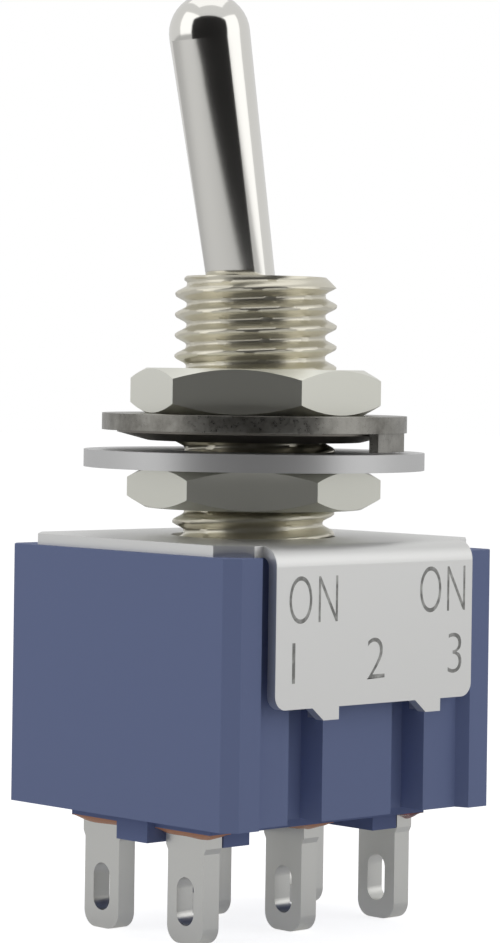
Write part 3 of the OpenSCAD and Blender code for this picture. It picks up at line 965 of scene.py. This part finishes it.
    def flange_plate(self) -> bpy.types.Object:
        """Makes the flange under the bracket, open in the middle.

        Returns:
            The flange as a closed ring with square outside.
        """
        steps = 64
        length, width, thick = self.flange
        low, high = self.bottom - thick, self.bottom
        verts, faces = [], []
        for z in (low, high):
            for i in range(steps):
                a = 2 * math.pi * i / steps
                c, s = math.cos(a), math.sin(a)
                k = min(length / 2 / max(abs(c), 1e-9), width / 2 / max(abs(s), 1e-9))
                verts.append((k * c, k * s, z))
            for i in range(steps):
                a = 2 * math.pi * i / steps
                verts.append((self.radius * math.cos(a), self.radius * math.sin(a), z))
        for i in range(steps):
            n = (i + 1) % steps
            lo, hi = 0, 2 * steps
            faces += [
                (lo + i, lo + n, hi + n, hi + i),
                (lo + steps + n, lo + steps + i, hi + steps + i, hi + steps + n),
                (hi + i, hi + n, hi + steps + n, hi + steps + i),
                (lo + n, lo + i, lo + steps + i, lo + steps + n),
            ]
        return new_piece("bushing_flange", verts, faces, Finishes.thread, False)

    def build(self) -> None:
        """Builds the threaded bushing as one piece."""
        wall = self.thread_tree().build("thread_wall")
        piece = join("threaded_bushing", [wall, self.hollow(), self.flange_plate()])
        merge(piece)
        shade(piece, 50)
        self.keep(piece, "frame", "bushing_nickel", "bushing")


@dataclass
class StampedLegend(SubAssembly):
    """Marks stamped in the arm of the bracket, drawn as thin proud strokes in painted shade, in millimetres.
    """

    face_y: float = -6.4
    plate_z: float = 14.05
    words: tuple[tuple[str, float, float, float, float], ...] = (
        ("ON", -3.05, 1.95, 1.7, 0.63),
        ("ON", 3.35, 1.8, 1.7, 0.63),
        ("1", -4.0, 4.1, 1.5, 1.0),
        ("2", 0.0, 4.1, 1.5, 1.0),
        ("3", 4.0, 4.1, 1.5, 1.0),
    )
    stroke: float = 0.012
    proud: float = 0.006

    def word(self, text: str, x: float, down: float, height: float, spread: float) -> bpy.types.Object:
        """Makes one word as thin strokes on the arm, dark with painted shade for the pressed letters.

        Args:
            text: The word.
            x: Middle of the word along the arm.
            down: Distance of its middle below the top of the plate.
            height: Height of a capital.
            spread: Width of the letters over their usual width.

        Returns:
            The word as a mesh, in place.
        """
        curve = bpy.data.curves.new("mark", "FONT")
        curve.body = text
        curve.align_x, curve.align_y = "CENTER", "CENTER"
        curve.size = height / 0.7 * MM
        curve.space_character = 1.12
        curve.extrude = self.proud / 2 * MM
        curve.offset = -0.035 * MM
        made = to_mesh(self.linked(bpy.data.objects.new("mark", curve)))
        turn = Matrix.Rotation(math.pi / 2, 4, "X") @ Matrix.Diagonal((spread, 1, 1, 1))
        place = Matrix.Translation((x * MM, self.face_y * MM, (self.plate_z - down) * MM))
        made.data.transform(place @ turn)
        made.data.materials.clear()
        # The strokes take the dark finish: painted shade of the pressed letters.
        made.data.materials.append(Finishes.mark.material())
        return made

    def linked(self, piece: bpy.types.Object) -> bpy.types.Object:
        """Puts an object in the scene and gives it back."""
        bpy.context.scene.collection.objects.link(piece)
        return piece

    def build(self) -> None:
        """Builds the marks as one piece."""
        made = [self.word(*w) for w in self.words]
        piece = join("stamped_marks", made)
        merge(piece)
        self.keep(piece, "frame", "bracket_tin")


@dataclass
class Bracket(SubAssembly):
    """Folded bracket."""

    def build(self) -> None:
        """Dresses the bracket."""
        self.dress(Finishes.bracket, "bracket")


@dataclass
class Case(SubAssembly):
    """Moulded case and its base."""

    def build(self) -> None:
        """Dresses the case and its base."""
        self.dress(Finishes.case, "case")
        # The base takes a darker blue: painted shade under the case.
        self.dress(Finishes.base, "base_block")


@dataclass
class Resin(SubAssembly):
    """Resin poured round the roots of the lugs."""

    seed: int = 7
    grid: int = 18

    def pad(self, name: str, finish: Finish) -> bpy.types.Object:
        """Makes one uneven pad of resin, which hangs lowest round the lug.

        Args:
            name: Node of the frame that it fills.
            finish: Its finish.

        Returns:
            The pad as a closed shell.
        """
        low, high = (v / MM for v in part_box(name))
        source = random.Random(f"{self.seed}-{name}")
        shift = [source.uniform(-3, 3) for _ in range(3)]
        middle, half = (low + high) / 2, (high - low) / 2
        n = self.grid
        verts, faces = [], []
        for layer in (0, 1):
            for j in range(n + 1):
                for i in range(n + 1):
                    u, v = 2 * i / n - 1, 2 * j / n - 1
                    edge = (1 - u**2) * (1 - v**2)
                    wave = math.sin(3.1 * u + shift[0]) * math.cos(2.7 * v + shift[1]) + 0.5 * math.sin(
                        6.3 * u * v + shift[2]
                    )
                    drop = max(0.0, min(1.0, edge)) ** 0.5 * (0.5 + 0.1 * wave)
                    z = high.z if layer else high.z - (high.z - low.z) * max(0.05, min(1.0, drop))
                    verts.append((middle.x + half.x * u, middle.y + half.y * v, z))
        side = (n + 1) ** 2
        for j in range(n):
            for i in range(n):
                a = j * (n + 1) + i
                faces.append((a, a + n + 1, a + n + 2, a + 1))
                faces.append((side + a, side + a + 1, side + a + n + 2, side + a + n + 1))
        ring = (
            [i for i in range(n)]
            + [n + j * (n + 1) for j in range(n)]
            + [n * (n + 1) + n - i for i in range(n)]
            + [(n - j) * (n + 1) for j in range(n)]
        )
        for a, b in zip(ring, ring[1:] + ring[:1]):
            faces.append((a, b, side + b, side + a))
        piece = new_piece(f"pad_{name}", verts, faces, finish, False)
        merge(piece, outward=True)
        shade(piece, 60)
        return piece

    def build(self) -> None:
        """Builds the six pads, one of which was poured from another batch."""
        for column in Column:
            for row in Row:
                name = f"resin_{column.value}_{row.value}"
                finish = Finishes.red if column is Column.RIGHT else Finishes.amber
                self.keep(self.pad(name, finish), "frame", "resin_amber", name)


@dataclass
class Lugs(SubAssembly):
    """Six solder lugs and the fixed contacts on their shelves."""

    def build(self) -> None:
        """Dresses the lugs and contacts."""
        for column in Column:
            for row in Row:
                self.dress(Finishes.lug, f"lug_{column.value}_{row.value}")
                if column is not Column.COMMON:
                    self.dress(Finishes.silver, f"contact_{column.value}_{row.value}")


@dataclass
class Hardware(SubAssembly):
    """Nuts, washers and the locating ring on the thread, in millimetres."""

    def build(self) -> None:
        """Dresses the stack."""
        self.dress(Finishes.nut, "lower_nut", "upper_nut")
        self.dress(Finishes.washer, "flat_washer")
        self.dress(Finishes.ring, "locating_ring")
        # The lock washer's darker colour is partly painted shade from the ring above it.
        self.dress(Finishes.lock, "lock_washer")


@dataclass
class Lever(SubAssembly):
    """Bat lever and what it carries inside the case."""

    def build(self) -> None:
        """Dresses the lever and the works."""
        self.dress(Finishes.lever, "lever")
        self.dress(Finishes.steel, "pivot_pin", "spring_front", "spring_rear")
        self.dress(Finishes.natural, "actuator")
        self.dress(Finishes.brass, "plunger_front", "plunger_rear")
        self.dress(Finishes.silver_brass, "rocker_front", "rocker_rear")


# --------------------------------------------------------------------------------------------
# Studio
# --------------------------------------------------------------------------------------------


def way_out(azimuth: float) -> Vector:
    """Gives the level way out from the object towards an azimuth, with 0 towards -Y."""
    a = math.radians(azimuth)
    return Vector((-math.sin(a), -math.cos(a), 0))


@dataclass(frozen=True)
class SoftLamp:
    """A square soft lamp: its place and side in millimetres and its power in watts."""

    name: str
    at: Vector
    side: float
    power: float


@dataclass
class Studio:
    """Floor, cards, lamps and camera. Lengths in millimetres, angles in degrees."""

    floor_size: float = 1400.0
    camera_azimuth: float = 43.107
    camera_distance: float = 124.04
    camera_height: float = 20.10
    camera_roll: float = 0.803
    lens: float = 130.1
    shift: tuple[float, float] = (-0.0056, -0.1087)
    floor_drop: float = 0.01
    card_size: tuple[float, float] = (230.0, 130.0)
    card_out: float = 92.0
    card_height: float = 64.0
    on_matt: float = 0.3
    in_metal: float = 0.74
    lamps: tuple[SoftLamp, ...] = (
        SoftLamp("left_soft", way_out(110) * 150 + Vector((0, 0, 90)), 150, 0.038),
        SoftLamp("right_soft", way_out(-28) * 150 + Vector((0, 0, 80)), 140, 0.033),
        SoftLamp("top_soft", Vector((30, 40, 190)), 160, 0.036),
    )

    def flat(
        self, name: str, size: tuple[float, float], at: Vector, facing: Vector, finish: Finish
    ) -> bpy.types.Object:
        """Makes a flat stage piece.

        Args:
            name: Name of the piece.
            size: Width and height.
            at: Its middle.
            facing: Way that it faces.
            finish: Its finish.

        Returns:
            The piece, marked as stage.
        """
        half_w, half_h = size[0] / 2, size[1] / 2
        turn = facing.to_track_quat("Z", "Y").to_matrix()
        outline = ((-half_w, -half_h, 0), (half_w, -half_h, 0), (half_w, half_h, 0), (-half_w, half_h, 0))
        corners = [turn @ Vector(corner) + at for corner in outline]
        piece = new_piece(name, corners, [(0, 1, 2, 3)], finish, False)
        return piece

    def lamp(self, name: str, at: Vector, size: tuple[float, float], power: float) -> None:
        """Adds a soft rectangular lamp that faces the middle of the object.

        Args:
            name: Name of the lamp.
            at: Its place.
            size: Its width and height.
            power: Its power in watts.
        """
        data = bpy.data.lights.new(name, "AREA")
        data.shape, data.size, data.size_y, data.energy = "RECTANGLE", size[0] * MM, size[1] * MM, power
        made = bpy.data.objects.new(name, data)
        made.location = at * MM
        made.rotation_mode = "QUATERNION"
        made.rotation_quaternion = (at - Vector((0, 0, 15))).to_track_quat("Z", "Y")
        made.visible_camera = False
        bpy.context.scene.collection.objects.link(made)

    def world(self) -> None:
        """Sets a plain pale surround, white to the camera and to the metal."""
        world = bpy.data.worlds.new("pale_surround")
        world.use_nodes = True
        bpy.context.scene.world = world
        tree = Tree(world.node_tree)
        world.node_tree.nodes.clear()
        path = tree.node("ShaderNodeLightPath")
        seen = tree.math(
            "MAXIMUM", path.outputs["Is Camera Ray"], path.outputs["Is Transmission Ray"]
        )
        back = tree.node("ShaderNodeBackground")
        back.inputs["Color"].default_value = (1, 1, 1, 1)
        glossy = tree.math("MULTIPLY", path.outputs["Is Glossy Ray"], self.in_metal)
        lift = tree.math("MAXIMUM", seen, glossy)
        tree.feed(back.inputs["Strength"], tree.math("MAXIMUM", lift, self.on_matt))
        end = tree.node("ShaderNodeOutputWorld")
        tree.feed(end.inputs[0], back.outputs[0])

    def camera(self) -> None:
        """Sets the camera, level, with the roll of a hand-held view."""
        data = bpy.data.cameras.new("view")
        data.lens, data.sensor_width, data.sensor_fit = self.lens, 36, "AUTO"
        data.shift_x, data.shift_y = self.shift
        data.clip_start, data.clip_end = 0.005, 10
        made = bpy.data.objects.new("view", data)
        back = way_out(self.camera_azimuth)
        roll = math.radians(self.camera_roll)
        azimuth = math.radians(self.camera_azimuth)
        side = Vector((math.cos(azimuth), -math.sin(azimuth), 0))
        up = Vector((0, 0, 1))
        right = side * math.cos(roll) + up * math.sin(roll)
        top = up * math.cos(roll) - side * math.sin(roll)
        place = Matrix((right, top, back)).transposed().to_4x4()
        place.translation = (back * self.camera_distance + up * self.camera_height) * MM
        made.matrix_world = place
        bpy.context.scene.collection.objects.link(made)
        bpy.context.scene.camera = made

    def build(self) -> None:
        """Builds floor, card, lamps, surround and camera."""
        self.camera()
        self.world()
        floor_at = Vector((0, 0, -self.floor_drop))
        side = (self.floor_size, self.floor_size)
        self.flat("floor", side, floor_at, Vector((0, 0, 1)), StudioSurface("pale_floor"))
        towards = way_out(self.camera_azimuth)
        card_at = towards * self.card_out + Vector((0, 0, self.card_height))
        card = self.flat("dark_card", self.card_size, card_at, -towards, DarkCard("black_card"))
        card.visible_camera = card.visible_diffuse = card.visible_shadow = False
        for lamp in self.lamps:
            self.lamp(lamp.name, lamp.at, (lamp.side, lamp.side), lamp.power)


def dress_switch() -> None:
    """Builds every sub-assembly and the studio."""
    logging.basicConfig(level=logging.INFO, format="%(name)s: %(message)s")
    scene = bpy.context.scene
    scene.view_settings.view_transform = "Standard"
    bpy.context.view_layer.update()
    groups: tuple[Callable[[], SubAssembly], ...] = (
        Case,
        Bracket,
        StampedLegend,
        Bushing,
        Hardware,
        Lever,
        Lugs,
        Resin,
    )
    for group in groups:
        made = group()
        made.build()
        log.info("%s: %d pieces of its own", group.__name__, len(made.pieces))
    Studio().build()
    bpy.context.view_layer.update()


def main() -> None:
    """Runs the whole script."""
    dress_switch()


if __name__ == "__main__":
    main()
